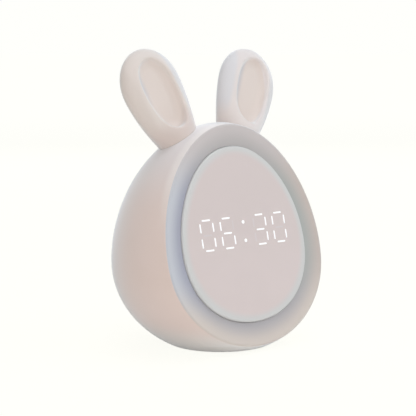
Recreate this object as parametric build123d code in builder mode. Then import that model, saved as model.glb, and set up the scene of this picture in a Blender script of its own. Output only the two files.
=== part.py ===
from build123d import *

import os
from math import asin, copysign, cos, pi, radians, sin, sqrt

# Bedside alarm clock for a child, shaped like a rabbit's head, with a glowing
# front panel that is both the night light and the clock's face.
# Millimetres, +Z up.  The front looks along -Y.  The origin is on the surface
# that the clock stands on, under the axis of the egg-shaped body.

# ---------------------------------------------------------------- body
body_radius = 44.0          # at the widest level
widest_height = 34.3        # height of the widest level
crown_rise = 55.4           # widest level to the top of the body
keel_below = 4.1            # how far below the ground the underside would close
keel_drop = widest_height + keel_below
crown_fullness = 1.91       # superellipse exponents: 2 is a plain ellipse
keel_fullness = 2.02
wall = 2.2
floor_thickness = 2.6

# front face: a leaning cut through the egg
rim_bottom_height = 3.0     # where the cut meets the front of the body
rim_top_reach = 5.1         # how far in front of the axis it meets the crown
rim_round = 0.9
rim_land = 0.7              # rim edge to where the sloping ring starts
ring_side, ring_top, ring_bottom = 8.2, 8.7, 9.4
ring_depth = 1.2            # at the panel's edge
ring_wall = 2.0
ring_root_depth = 0.5       # where the wall behind the ring leaves the front wall
ring_root_share, ring_root_end = 0.25, 0.42     # of the way from the rim to the panel
front_wall = 2.4

# back: a dome with a flat for the controls, screwed to the shell
back_cut = 8.0              # how far the flat back is cut into the egg
parting_setback = 9.0       # from the flat back to where the rear cover meets the shell
back_round = 3.0
lip_thickness, lip_length, lip_gap = 1.2, 2.0, 0.15
lip_root = 1.0              # how far the tongue reaches into the cover's own wall
boss_radius, boss_length, boss_inset = 3.2, 13.0, 6.4
boss_rib = 1.6
cover_screw_radius, cover_screw_head, cover_screw_length = 1.2, 2.3, 10.0
cover_screw_angles = (60.0, -35.0)   # above and below the middle of the parting line
screw_head_height = 1.5
screw_seat_depth = 2.2      # thickness of the cover's towers under the screws' heads
screw_clearance = 0.3
head_bevel = 0.35           # share of a screw head's height that is bevelled

# foot
foot_inset, foot_thickness, foot_proud = 3.8, 1.8, 0.6
foot_gap = 0.2
foot_bevel = 0.3
base_round = 1.2

# ---------------------------------------------------------------- panel
panel_fullness = 2.07
panel_taper = 0.127         # how much narrower the panel is towards its top
panel_recess = 0.2          # front of the panel, behind the rim
panel_round = 0.6
panel_gap = 0.15
panel_skin = 1.6
panel_side = 1.6
flange_width, flange_thickness = 2.0, 1.6
seam = 0.05

# display
digit_height = 11.8         # centre of the top stroke to centre of the bottom one
digit_width = 6.45          # centre of the left stroke to centre of the right one
stroke = 0.65
across_length, upright_length = 4.2, 3.6
digit_pitch = 10.24
pair_inset = 17.9           # panel's side to the middle of a pair of digits
colon_spacing, dot_radius = 7.4, 0.7
display_rise = 1.2          # centre of the digits above the middle of the face
segment_clearance = 0.05
segment_reach = 2.0         # how far the strokes go back into their housing
housing_margin = 1.4
housing_corner = 1.0
diffuser_thickness = 0.3
reflector_thickness, reflector_width = 2.0, 3.4
board_thickness = 1.2
light_board_overlap = 2.0   # how far the board reaches past the panel's edge
lobe_radius = 3.2
light_boss_radius, light_boss_angle, light_boss_offset = 2.2, 48.0, 4.5
small_screw_radius, small_screw_head, small_screw_length = 0.9, 1.8, 5.0
small_head_height = 1.1
digit_led = (1.6, 0.8, 0.7)
night_led = (3.5, 2.8, 0.8)
night_led_inset = 9.5       # from the panel's edge
night_led_angles = (35.0, 75.0, 105.0, 145.0)   # above the middle, and as many below it

# ---------------------------------------------------------------- ears
ear_spread, ear_setback = 16.9, 8.3
ear_lift = 2.5              # base point of an ear above the body's surface
ear_splay, ear_lean = 24.3, 12.8      # outwards and backwards, degrees
ear_length = 35.5
ear_widest_at = 19.9
ear_root_width, ear_width = 9.9, 14.2           # half sizes across
ear_root_depth, ear_depth = 8.0, 6.2            # half sizes front to back
ear_skirt = 14.0            # length of the straight root below the base point
ear_seam = 0.05
ear_sections = (0.0, 0.35, 0.7, 1.0)  # along the widening part of an ear
dish_side_border, dish_top_border = 6.5, 4.5    # rim of the dish
dish_floor = 2.0            # from mid-ear
dish_bottom = 1.5
dish_sweep, dish_curve = 4.0, 2.8      # how the floor curves up: inwards, and in height
dish_steps = 4
dish_lip = 1.0              # rounding of the dish's mouth
dish_fullness, dish_taper = 2.3, 0.1
ear_tip_steps = 6
neck_width, neck_depth = 6.2, 4.6
neck_gap = 0.1
collar_wall = 1.8
collar_end = 9.0            # below the ear's base point, along the ear
clamp_thickness = 1.6
ear_screw_spacing = 6.0

# ---------------------------------------------------------------- controls
# levels are measured from the middle of the flat back
control_board_width, control_board_height = 38.0, 42.0
control_board_drop = 2.4
board_corner = 2.0
board_boss_radius, board_boss_spread = 2.2, 16.0
board_boss_rises = (-19.9, 4.1)
button_radius, button_gap = 3.3, 0.2
button_travel = 0.5
button_proud = 0.9
button_flange, button_flange_thickness = 1.0, 0.8
button_dome = 0.45
button_rise, button_pitch = 13.8, 9.4
running_gap = 0.05
switch_size, switch_height = 6.0, 3.0
plunger_radius, plunger_gap = 1.7, 0.08
plunger_proud = 0.95        # out of its switch, at rest
plunger_depth = 1.9
bore_depth = 2.6

socket_drop = 19.4          # of the slide switch and the charging socket
slide_centre = -7.8
slide_travel = 2.0
slide_knob_width, slide_knob_height, slide_knob_proud = 3.0, 2.2, 0.9
slide_plate_margin, slide_plate_thickness = 1.6, 0.8
slide_gap = 0.2
slide_body = (9.0, 3.8, 3.2)
slide_peg, slide_peg_depth, slide_bore_depth = 1.4, 1.2, 1.6
knurl_width, knurl_depth, knurl_count = 0.3, 0.3, 3

usb_centre = 7.8
usb_width, usb_height, usb_metal = 8.9, 3.2, 0.3
usb_setback = 0.6           # mouth of the socket inside the flat back
usb_round_left = 0.01       # how much the socket's ends fall short of half circles
usb_gap = 0.25
usb_tongue = (6.6, 0.7, 4.6)
# chips on the front of the control board: across, above its middle, width, height
chips = [(-11.0, 16.0, 7.5, 5.3), (6.0, 16.5, 4.9, 3.9), (12.0, -17.6, 3.0, 2.8)]
chip_thickness = 1.4

# ---------------------------------------------------------------- sound
speaker_drop = 3.9
speaker_radius, speaker_flange = 11.5, 1.2
speaker_gasket_thickness, gasket_width = 0.6, 2.0
basket_radius, basket_end, basket_depth, basket_skin = 9.0, 7.0, 3.6, 0.8
magnet_radius, magnet_thickness = 6.5, 2.6
cone_radius, cone_end, cone_depth, cone_skin = 8.4, 3.0, 2.6, 0.4
cone_edge, cap_rise = 0.6, 0.8
basket_lip = 0.2
speaker_ring_gap, speaker_ring_wall, speaker_ring_depth = 0.2, 1.2, 3.6
clamp_ring_thickness, clamp_ring_width = 1.4, 1.9
speaker_hole_margin = 3.4   # hole in the control board round the basket
grille_slot, grille_pitch, grille_count, grille_reach = 1.3, 2.6, 7, 9.4

# ---------------------------------------------------------------- battery
cell_radius, cell_length, cell_round = 7.1, 43.0, 0.8
cell_nub_radius, cell_nub = 2.6, 0.8
cell_gap = 0.2
cell_setback = 4.0
cradle_wall, cradle_floor = 1.6, 1.4
cradle_level = 10.0
contact_thickness, contact_size = 0.4, 9.0
post_radius, post_spread = 2.6, 13.0
lug_reach, lug_thickness = 2.9, 1.8     # centre of a screw lug from the cradle's side


back_reach = body_radius - back_cut
parting_reach = back_reach - parting_setback


# ================================================================ body shape
def egg_radius(height, inset=0.0):
    """Radius of the body at a height, on a surface inset from the outside."""
    above = height >= widest_height
    reach = (crown_rise if above else keel_drop) - inset
    fullness = crown_fullness if above else keel_fullness
    share = min(abs(height - widest_height) / reach, 1.0)
    return (body_radius - inset) * (1 - share**fullness) ** (1 / fullness)


def egg_height(radius, above, inset=0.0):
    """Height at which that surface has a radius, above or below the widest level."""
    reach = (crown_rise if above else -keel_drop) + (-inset if above else inset)
    fullness = crown_fullness if above else keel_fullness
    share = radius / (body_radius - inset)
    return widest_height + reach * (1 - share**fullness) ** (1 / fullness)


def egg_point(angle, inset=0.0):
    """Point of the egg's side view at an angle above the widest level, in radians."""
    above = angle >= 0
    reach = (crown_rise if above else keel_drop) - inset
    fullness = crown_fullness if above else keel_fullness
    radius = (body_radius - inset) * (1 - abs(sin(angle)) ** fullness) ** (1 / fullness)
    return Vector(radius, widest_height + reach * sin(angle))


def egg(inset, floor, steps=14):
    """Solid of revolution inside the body's outside by an inset, above a floor."""
    first = asin((floor - widest_height) / (keel_drop - inset))
    angles = [first + (pi / 2 - first) * i / steps for i in range(steps + 1)]
    with BuildPart() as solid:
        with BuildSketch(Plane.YZ):
            with BuildLine():
                side = Spline(*[egg_point(a, inset) for a in angles])
                Polyline(side @ 1, (0, floor), side @ 0)
            make_face()
        revolve(axis=Axis.Z)
    return solid.part


def outline_angles(count=40):
    return [2 * pi * i / count for i in range(count)]


def closed_sketch(plane, points):
    """Face on a plane inside one smooth closed curve."""
    with BuildSketch(plane) as sketch:
        with BuildLine():
            Spline(*points, periodic=True)
        make_face()
    return sketch.sketch


# front face: its plane passes through two points of the body's side view
rim_low = Vector(0, -egg_radius(rim_bottom_height), rim_bottom_height)
rim_high = Vector(0, -rim_top_reach, egg_height(rim_top_reach, above=True))
rim_middle = (rim_low + rim_high) * 0.5
rim_half_height = (rim_high - rim_low).length / 2
face_up = (rim_high - rim_low).normalized()
face_plane = Plane(origin=rim_middle, x_dir=(1, 0, 0), z_dir=Vector(1, 0, 0).cross(face_up))


def rim_point(angle):
    """Point of the sharp rim, in the face plane."""
    up = rim_half_height * sin(angle)
    place = rim_middle + face_up * up
    across = sqrt(max(egg_radius(place.Z) ** 2 - place.Y**2, 0))
    return Vector(copysign(across, cos(angle)), up)


panel_half_width = rim_point(0).X - ring_side
panel_half_height = rim_half_height - (ring_top + ring_bottom) / 2
panel_rise = (ring_bottom - ring_top) / 2


def panel_point(angle, inset=0.0):
    """Point of the panel's egg-shaped outline, in the face plane."""
    power = 2 / panel_fullness
    lift = copysign(abs(sin(angle)) ** power, sin(angle))
    reach = copysign(abs(cos(angle)) ** power, cos(angle)) * (1 - panel_taper * lift)
    return Vector((panel_half_width - inset) * reach, panel_rise + (panel_half_height - inset) * lift)


def ring_point(angle, share):
    """Point part of the way from the rim, 0, to the panel's edge, 1."""
    return rim_point(angle) * (1 - share) + panel_point(angle) * share


def behind(depth):
    """Plane parallel to the face, a depth behind the rim."""
    return face_plane.offset(-depth)


def panel_sketch(depth, inset=0.0):
    return closed_sketch(behind(depth), [panel_point(a, inset) for a in outline_angles()])


def ring_sketch(depth, share):
    return closed_sketch(behind(depth), [ring_point(a, share) for a in outline_angles()])


# back: outlines on planes square to Y
def back_plane(reach):
    return Plane(origin=(0, reach, 0), x_dir=(-1, 0, 0), z_dir=(0, 1, 0))


def back_point(angle, reach, inset=0.0):
    """Point where a surface inset from the body crosses a plane square to Y."""
    low, high = egg_height(reach, False, inset), egg_height(reach, True, inset)
    height = (low + high) / 2 + (high - low) / 2 * sin(angle)
    across = sqrt(max(egg_radius(height, inset) ** 2 - reach**2, 0))
    return Vector(copysign(across, cos(angle)), height)


def back_sketch(reach, inset=0.0, at=None):
    """That outline as a face, on its own plane or on another one."""
    points = [back_point(a, reach, inset) for a in outline_angles()]
    return closed_sketch(back_plane(reach if at is None else at), points)


base_level = foot_proud
floor_level = base_level + floor_thickness
foot_radius = egg_radius(base_level) - foot_inset
ring_back = ring_depth + ring_wall
outside = egg(0, base_level)

trough_radius = cell_radius + cell_gap
post_pitch = 2 * (trough_radius + cradle_wall + lug_reach)


def boss_places():
    """Where the rear cover's screws go, on the plane of the parting line."""
    right = [back_point(radians(angle), parting_reach, boss_inset) for angle in cover_screw_angles]
    return [Vector(side * place.X, place.Y) for place in right for side in (-1, 1)]


def light_boss_places():
    """Where the light board is screwed, in the face plane."""
    turn = radians(light_boss_angle)
    corners = [turn, pi - turn, pi + turn, -turn]
    return [panel_point(a, -light_boss_offset) for a in corners]


# ================================================================ ears' frame
def ear_plane(side):
    """Plane across an ear at its base: X across, Z along the ear, side is -1 or 1."""
    splay, lean = radians(ear_splay), radians(ear_lean)
    along = Vector(side * sin(splay), sin(lean) * cos(splay), cos(lean) * cos(splay))
    across = Vector(cos(splay), -side * sin(lean) * sin(splay), -side * cos(lean) * sin(splay))
    base_height = egg_height(sqrt(ear_spread**2 + ear_setback**2), above=True) + ear_lift
    return Plane(origin=(side * ear_spread, ear_setback, base_height), x_dir=across, z_dir=along)


def ear_size(along):
    """Half width and half depth of an ear at a distance from its base point."""
    if along <= ear_widest_at:
        share = ((ear_widest_at - max(along, 0)) / ear_widest_at) ** 2
        return (
            ear_width + (ear_root_width - ear_width) * share,
            ear_depth + (ear_root_depth - ear_depth) * share,
        )
    share = (along - ear_widest_at) / (ear_length - ear_widest_at)
    tip = sqrt(max(1 - share**2, 0))
    return ear_width * tip, ear_depth * tip


# ================================================================ shell
def body_structure():
    """Bosses, ribs, collars and posts inside the shell, trimmed to stay inside it."""
    with BuildPart() as inner:
        for place in boss_places():
            spot = Vector(place.X, parting_reach - seam, place.Y)
            with Locations(Plane(origin=spot, z_dir=(0, -1, 0))):
                Cylinder(boss_radius, boss_length, align=(Align.CENTER, Align.CENTER, Align.MIN))
            outward = Vector(place.X, 0, place.Y - widest_height)
            rib_start = spot - Vector(0, lip_length + 2 * lip_gap, 0)
            with Locations(Plane(origin=rib_start, x_dir=outward, z_dir=(0, -1, 0))):
                Box(body_radius / 2, boss_rib, boss_length - lip_length - 2 * lip_gap,
                    align=(Align.MIN, Align.CENTER, Align.MIN))
        for side in (-1, 1):
            with BuildSketch(ear_plane(side).offset(-collar_end)):
                Ellipse(neck_width + neck_gap + collar_wall, neck_depth + neck_gap + collar_wall)
            extrude(amount=collar_end)
        with Locations((0, cell_setback, floor_level - wall)):
            with GridLocations(2 * post_spread, post_pitch, 2, 2):
                Cylinder(post_radius, cradle_level - floor_level + wall,
                         align=(Align.CENTER, Align.CENTER, Align.MIN))
        add(egg(wall / 2, base_level + wall / 2), mode=Mode.INTERSECT)
        split(bisect_by=back_plane(parting_reach - seam), keep=Keep.BOTTOM)
    return inner.part


with BuildPart() as cavity:
    add(egg(wall, floor_level))
    split(bisect_by=behind(front_wall), keep=Keep.BOTTOM)

with BuildPart() as body_shell:
    add(outside)
    split(bisect_by=face_plane, keep=Keep.BOTTOM)
    face_axis = Axis(face_plane.origin, face_plane.z_dir)
    rim_face = body_shell.faces().filter_by(GeomType.PLANE).sort_by(face_axis)[-1]
    fillet(rim_face.edges(), radius=rim_round)
    fillet(body_shell.faces().sort_by(Axis.Z)[0].edges(), radius=base_round)
    split(bisect_by=back_plane(parting_reach), keep=Keep.BOTTOM)
    add(cavity.part, mode=Mode.SUBTRACT)
    # wall behind the sloping ring, then the ring itself
    loft([ring_sketch(ring_root_depth, ring_root_share), ring_sketch(ring_back, ring_root_end)])
    loft([ring_sketch(0, rim_land / ring_side), ring_sketch(ring_depth, 1)], mode=Mode.SUBTRACT)
    extrude(panel_sketch(ring_back + 1), amount=ring_back + 2, mode=Mode.SUBTRACT)
    # inside
    add(body_structure())
    with BuildSketch(behind(ring_back + flange_thickness + seam + reflector_thickness)):
        with Locations(*light_boss_places()):
            Circle(light_boss_radius)
    extrude(amount=flange_thickness + seam + reflector_thickness + ring_wall / 2)
    with BuildSketch(behind(ring_back + flange_thickness + seam + reflector_thickness)):
        with Locations(*light_boss_places()):
            Circle(small_screw_radius)
    extrude(amount=small_screw_length - board_thickness, mode=Mode.SUBTRACT)
    with BuildSketch(back_plane(parting_reach)):
        with Locations(*[(-p.X, p.Y) for p in boss_places()]):
            Circle(cover_screw_radius)
    extrude(amount=-cover_screw_length, mode=Mode.SUBTRACT)
    for side in (-1, 1):
        with BuildSketch(ear_plane(side).offset(-collar_end)):
            Ellipse(neck_width + neck_gap, neck_depth + neck_gap)
        extrude(amount=collar_end + ear_root_width, mode=Mode.SUBTRACT)
    with BuildSketch(Plane.XY.offset(cradle_level)):
        with Locations((0, cell_setback)):
            with GridLocations(2 * post_spread, post_pitch, 2, 2):
                Circle(small_screw_radius)
    extrude(amount=-(small_screw_length - lug_thickness), mode=Mode.SUBTRACT)
    with BuildSketch(Plane.XY.offset(base_level)):
        Circle(foot_radius + foot_gap)
    extrude(amount=foot_thickness - foot_proud, mode=Mode.SUBTRACT)


# ================================================================ rear cover
back_inside = back_reach - wall
back_middle = (egg_height(back_reach, False) + egg_height(back_reach, True)) / 2
speaker_level = back_middle - speaker_drop
slide_level = usb_level = back_middle - socket_drop
button_places = [(button_pitch * step, back_middle + button_rise) for step in (-1.5, -0.5, 0.5, 1.5)]
button_names = ["mode", "down", "up", "light"]
slide_rest = slide_centre - slide_travel / 2


def on_back(points):
    """Places seen in the clock's own X and Z, turned to the back planes' axes."""
    return [(-x, z) for x, z in points]


def back_cylinder(points, radius, low, high, mode=Mode.ADD):
    """Cylinders along Y at (x, z) points, between two distances behind the axis."""
    with BuildSketch(back_plane(low)) as section:
        with Locations(*on_back(points)):
            Circle(radius)
    extrude(section.sketch, amount=high - low, mode=mode)


def back_block(x, z, width, height, low, high, mode=Mode.ADD, corner=0.0):
    """A block at (x, z) between two distances behind the axis, its corners rounded."""
    with BuildSketch(back_plane(low)) as section:
        with Locations((-x, z)):
            if corner:
                RectangleRounded(width, height, corner)
            else:
                Rectangle(width, height)
    extrude(section.sketch, amount=high - low, mode=mode)


cover_screw_places = [(p.X, p.Y) for p in boss_places()]
board_boss_places = [(x, back_middle + rise) for rise in board_boss_rises
                     for x in (-board_boss_spread, board_boss_spread)]
button_seat = back_inside - running_gap - button_flange_thickness
switch_back = button_seat - plunger_proud
board_back = switch_back - switch_height
control_board_reach = board_back - board_thickness
screw_seat = parting_reach + screw_seat_depth

with BuildPart() as rear_cover:
    add(outside)
    split(bisect_by=back_plane(back_reach), keep=Keep.BOTTOM)
    flat = rear_cover.faces().filter_by(GeomType.PLANE).sort_by(Axis.Y)[-1]
    fillet(flat.edges(), radius=back_round)
    with BuildPart(mode=Mode.PRIVATE) as hollow:
        add(egg(wall, base_level + wall))
        split(bisect_by=back_plane(back_inside), keep=Keep.BOTTOM)
    add(hollow.part, mode=Mode.SUBTRACT)
    split(bisect_by=back_plane(parting_reach), keep=Keep.TOP)
    # tongue that centres the cover in the shell
    tongue = back_sketch(parting_reach, wall + lip_gap, at=parting_reach - lip_length)
    tongue_hole = back_sketch(parting_reach, wall + lip_gap + lip_thickness, at=parting_reach - lip_length)
    with BuildPart(mode=Mode.PRIVATE) as lip:
        extrude(tongue, amount=lip_length + lip_root)
        extrude(tongue_hole, amount=lip_length + lip_root, mode=Mode.SUBTRACT)
    add(lip.part)
    # towers for the screws that hold the cover, bosses for the control board
    with BuildPart(mode=Mode.PRIVATE) as towers:
        back_cylinder(cover_screw_places, boss_radius, parting_reach + seam, back_reach)
        back_cylinder(board_boss_places, board_boss_radius, board_back, back_reach - wall / 2)
        add(egg(wall / 2, base_level + wall / 2), mode=Mode.INTERSECT)
    add(towers.part)
    back_cylinder(cover_screw_places, cover_screw_radius + screw_clearance, parting_reach - 1, back_reach, Mode.SUBTRACT)
    back_cylinder(cover_screw_places, cover_screw_head + screw_clearance, screw_seat, back_reach, Mode.SUBTRACT)
    back_cylinder(board_boss_places, small_screw_radius, board_back, board_back + small_screw_length - board_thickness,
                  Mode.SUBTRACT)
    # ring that the loudspeaker drops into, and its grille
    speaker_place = [(0, speaker_level)]
    ring_bore = speaker_radius + speaker_ring_gap
    back_cylinder(speaker_place, ring_bore + speaker_ring_wall, back_inside - speaker_ring_depth, back_inside)
    back_cylinder(speaker_place, ring_bore, back_inside - speaker_ring_depth, back_inside, Mode.SUBTRACT)
    for row in range(grille_count):
        lift = (row - (grille_count - 1) / 2) * grille_pitch
        half = sqrt(grille_reach**2 - lift**2)
        with BuildSketch(back_plane(back_inside - 1)):
            with Locations((0, speaker_level + lift)):
                SlotOverall(2 * half, grille_slot)
        extrude(amount=wall + 2, mode=Mode.SUBTRACT)
    # openings for the buttons, the slide switch and the charging socket
    back_cylinder(button_places, button_radius + button_gap, back_inside - 1, back_reach + 1, Mode.SUBTRACT)
    back_block(slide_centre, slide_level, slide_knob_width + slide_travel + 2 * slide_gap,
               slide_knob_height + 2 * slide_gap, back_inside - 1, back_reach + 1, Mode.SUBTRACT)
    back_block(usb_centre, usb_level, usb_width + 2 * usb_gap, usb_height + 2 * usb_gap,
               back_inside - 1, back_reach + 1, Mode.SUBTRACT, corner=usb_height / 2)

# ================================================================ ears
def dish_point(angle, inset):
    """Point of an outline inside the dish's mouth: X across, Y along the ear."""
    power = 2 / dish_fullness
    lift = copysign(abs(sin(angle)) ** power, sin(angle))
    reach = copysign(abs(cos(angle)) ** power, cos(angle)) * (1 + dish_taper * lift)
    top = ear_length - dish_top_border
    half_width, half_height = ear_width - dish_side_border - inset, (top - dish_bottom) / 2 - inset
    return Vector(half_width * reach, (top + dish_bottom) / 2 + half_height * lift)


def dish_cutter(front):
    """What is scooped out of an ear: a floor that curves up into a straight wall."""
    sections = []
    for step in range(dish_steps + 1):
        turn = pi / 2 * step / dish_steps
        level = front.offset(dish_floor + dish_curve * (1 - cos(turn)))
        inset = dish_sweep * (1 - sin(turn))
        sections.append(closed_sketch(level, [dish_point(a, inset) for a in outline_angles(24)]))
    with BuildPart() as cutter:
        loft(sections)
        extrude(sections[-1], amount=ear_root_depth)
    return cutter.part


def ear_solid(side):
    """One ear with its dish, sitting on the body, and the neck that plugs into it."""
    frame = ear_plane(side)
    front = Plane(origin=frame.origin, x_dir=frame.x_dir, z_dir=-frame.y_dir)
    tip_length = ear_length - ear_widest_at
    stations = [-ear_skirt] + [ear_widest_at * share for share in ear_sections]
    stations += [ear_widest_at + tip_length * sin(pi / 2 * i / ear_tip_steps) for i in range(1, ear_tip_steps)]
    sections = []
    for along in stations:
        half_width, half_depth = ear_size(along)
        with BuildSketch(frame.offset(along)) as section:
            Ellipse(half_width, half_depth)
        sections.append(section.sketch)
    tip = Vertex(*frame.from_local_coords(Vector(0, 0, ear_length)))
    with BuildPart() as ear:
        loft([*sections, tip])
        add(dish_cutter(front), mode=Mode.SUBTRACT)
        mouth = ear.edges().sort_by(Axis(front.origin, front.z_dir))[-1]
        fillet(mouth, radius=dish_lip)
        add(egg(-ear_seam, base_level), mode=Mode.SUBTRACT)
        with BuildSketch(frame.offset(seam - collar_end)):
            Ellipse(neck_width, neck_depth)
        extrude(amount=collar_end)
        with BuildSketch(frame.offset(seam - collar_end)):
            with GridLocations(ear_screw_spacing, 0, 2, 1):
                Circle(small_screw_radius)
        extrude(amount=small_screw_length - clamp_thickness, mode=Mode.SUBTRACT)
    return ear.part


def ear_clamp(side):
    """Plate under the shell's collar that pulls an ear down by its neck."""
    with BuildPart() as clamp:
        with BuildSketch(ear_plane(side).offset(-collar_end)):
            Ellipse(neck_width + neck_gap + collar_wall, neck_depth + neck_gap + collar_wall)
            with GridLocations(ear_screw_spacing, 0, 2, 1):
                Circle(small_screw_radius + screw_clearance / 2, mode=Mode.SUBTRACT)
        extrude(amount=-clamp_thickness)
    return clamp.part


def screws(plane, places, radius, length, head_radius, head_height):
    """Screws with bevelled heads and crossed slots: heads in front of a plane, shanks behind it."""
    with BuildPart() as group:
        for place in places:
            with Locations(plane * Location((place[0], place[1], 0))):
                Cylinder(radius, length, align=(Align.CENTER, Align.CENTER, Align.MAX))
                Cylinder(head_radius, head_height, align=(Align.CENTER, Align.CENTER, Align.MIN))
        tops = group.edges().filter_by(GeomType.CIRCLE).group_by(Axis(plane.origin, plane.z_dir))[-1]
        chamfer(tops, length=head_height * head_bevel)
        for place in places:
            with Locations(plane * Location((place[0], place[1], head_height))):
                Box(head_radius, head_radius / 4, head_height, mode=Mode.SUBTRACT)
                Box(head_radius / 4, head_radius, head_height, mode=Mode.SUBTRACT)
    return group.part


def ear_screws():
    """The four screws that hold both ears, driven up from inside."""
    spots = [(-ear_screw_spacing / 2, 0), (ear_screw_spacing / 2, 0)]
    with BuildPart() as group:
        for side in (-1, 1):
            frame = ear_plane(side).offset(-collar_end - clamp_thickness)
            below = Plane(origin=frame.origin, x_dir=frame.x_dir, z_dir=-frame.z_dir)
            add(screws(below, spots, small_screw_radius, small_screw_length, small_screw_head, small_head_height))
    return group.part


# ================================================================ front panel
segment_names = {
    "top": (0, 1, False), "middle": (0, 0, False), "bottom": (0, -1, False),
    "upper_left": (-1, 0.5, True), "lower_left": (-1, -0.5, True),
    "upper_right": (1, 0.5, True), "lower_right": (1, -0.5, True),
}
digit_strokes = {
    "0": ["top", "bottom", "upper_left", "lower_left", "upper_right", "lower_right"],
    "6": ["top", "middle", "bottom", "upper_left", "lower_left", "lower_right"],
    "3": ["top", "middle", "bottom", "upper_right", "lower_right"],
}
shown = "0630"
pair_pitch = 2 * (panel_half_width - pair_inset)
digit_centres = [pair + digit for pair in (-pair_pitch / 2, pair_pitch / 2)
                 for digit in (-digit_pitch / 2, digit_pitch / 2)]
dot_places = [(0, display_rise + side * colon_spacing / 2) for side in (-1, 1)]


def segment_bars(lit):
    """(x, y, length, turn) of the strokes that are lit, or of those that are not."""
    bars = []
    for centre, digit in zip(digit_centres, shown):
        for name, (across, up, upright) in segment_names.items():
            if (name in digit_strokes[digit]) == lit:
                place = (centre + across * digit_width / 2, display_rise + up * digit_height / 2)
                bars.append((*place, *((upright_length, 90) if upright else (across_length, 0))))
    return bars


def segment_sketch(depth, lit, dots, growth=0.0):
    """Strokes and dots of the display on a plane behind the face."""
    with BuildSketch(behind(depth)) as sketch:
        for x, y, length, turn in segment_bars(lit):
            with Locations((x, y)):
                SlotOverall(length + 2 * growth, stroke + 2 * growth, rotation=turn)
        if dots:
            with Locations(*dot_places):
                Circle(dot_radius + growth)
    return sketch.sketch


panel_back = ring_back + seam + flange_thickness
skin_back = panel_recess + panel_skin
board_front = panel_back + seam + reflector_thickness
led_front = board_front - digit_led[2]

with BuildPart() as front_panel:
    extrude(panel_sketch(panel_back, panel_gap), amount=panel_back - panel_recess)
    face_axis = Axis(face_plane.origin, face_plane.z_dir)
    fillet(front_panel.faces().sort_by(face_axis)[-1].edges(), radius=panel_round)
    extrude(panel_sketch(panel_back, -flange_width), amount=flange_thickness)
    extrude(panel_sketch(panel_back, panel_gap + panel_side), amount=panel_back - skin_back, mode=Mode.SUBTRACT)
    extrude(segment_sketch(skin_back, True, True), amount=panel_skin, mode=Mode.SUBTRACT)
    extrude(segment_sketch(skin_back, False, False), amount=panel_skin, mode=Mode.SUBTRACT)

housing_width = pair_pitch + digit_pitch + digit_width + 2 * housing_margin
housing_height = digit_height + 2 * housing_margin
with BuildPart() as segment_housing:
    with BuildSketch(behind(led_front)):
        with Locations((0, display_rise)):
            RectangleRounded(housing_width, housing_height, housing_corner)
    extrude(amount=led_front - skin_back - seam)
    for lit in (True, False):
        extrude(segment_sketch(led_front, lit, True, segment_clearance), amount=led_front, mode=Mode.SUBTRACT)

segment_depth = skin_back + seam + segment_reach
with BuildPart() as lit_segments:
    extrude(segment_sketch(segment_depth, True, True), amount=segment_depth - panel_recess)
with BuildPart() as unlit_segments:
    extrude(segment_sketch(segment_depth, False, False), amount=segment_depth - panel_recess)

with BuildPart() as diffuser_sheet:
    extrude(panel_sketch(skin_back + seam + diffuser_thickness, panel_side + 2 * panel_gap),
            amount=diffuser_thickness)
    with BuildSketch(behind(skin_back)) as window:
        with Locations((0, display_rise)):
            Rectangle(housing_width + 4 * panel_gap, housing_height + 4 * panel_gap)
    extrude(window.sketch, amount=-panel_back, mode=Mode.SUBTRACT)

with BuildPart() as reflector_frame:
    extrude(panel_sketch(board_front, -flange_width), amount=reflector_thickness)
    extrude(panel_sketch(board_front, reflector_width), amount=reflector_thickness, mode=Mode.SUBTRACT)

board_back_plane = behind(board_front + board_thickness)
with BuildPart() as light_board:
    extrude(panel_sketch(board_front + board_thickness, -light_board_overlap), amount=board_thickness)
    with BuildSketch(board_back_plane):
        with Locations(*light_boss_places()):
            Circle(lobe_radius)
    extrude(amount=board_thickness)
    with BuildSketch(board_back_plane):
        with Locations(*light_boss_places()):
            Circle(small_screw_radius + screw_clearance / 2)
    extrude(amount=board_thickness, mode=Mode.SUBTRACT)


def led_blocks(places, size):
    """Surface-mounted lamps standing on the front of the light board."""
    with BuildPart() as group:
        with BuildSketch(behind(board_front)):
            with Locations(*places):
                Rectangle(size[0], size[1])
        extrude(amount=size[2])
    return group.part


night_led_places = [panel_point(side * radians(angle), night_led_inset)
                    for side in (-1, 1) for angle in night_led_angles]
digit_led_places = [(x, y) for x, y, _, _ in segment_bars(True) + segment_bars(False)] + dot_places

pieces = {
    "body_shell": body_shell.part,
    "rear_cover": rear_cover.part,
    "front_panel": front_panel.part,
    "segment_housing": segment_housing.part,
    "lit_segments": lit_segments.part,
    "unlit_segments": unlit_segments.part,
    "diffuser_sheet": diffuser_sheet.part,
    "reflector_frame": reflector_frame.part,
    "light_board": light_board.part,
    "digit_leds": led_blocks(digit_led_places, digit_led),
    "night_leds": led_blocks(night_led_places, night_led),
    "light_board_screws": screws(
        Plane(origin=board_back_plane.origin, x_dir=(-1, 0, 0), z_dir=-face_plane.z_dir),
        [(-p.X, p.Y) for p in light_boss_places()],
        small_screw_radius, small_screw_length, small_screw_head, small_head_height),
    "ear_left": ear_solid(-1),
    "ear_right": ear_solid(1),
    "ear_clamp_left": ear_clamp(-1),
    "ear_clamp_right": ear_clamp(1),
    "ear_screws": ear_screws(),
    "cover_screws": screws(
        back_plane(screw_seat), on_back(cover_screw_places),
        cover_screw_radius, cover_screw_length, cover_screw_head, screw_head_height),
}

# ================================================================ controls
control_board_centre = back_middle - control_board_drop
with BuildPart() as control_board:
    back_block(0, control_board_centre, control_board_width, control_board_height,
               control_board_reach, board_back, corner=board_corner)
    back_cylinder(speaker_place, basket_radius + speaker_hole_margin, control_board_reach, board_back, Mode.SUBTRACT)
    back_cylinder(board_boss_places, small_screw_radius + screw_clearance / 2, control_board_reach, board_back,
                  Mode.SUBTRACT)

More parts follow.
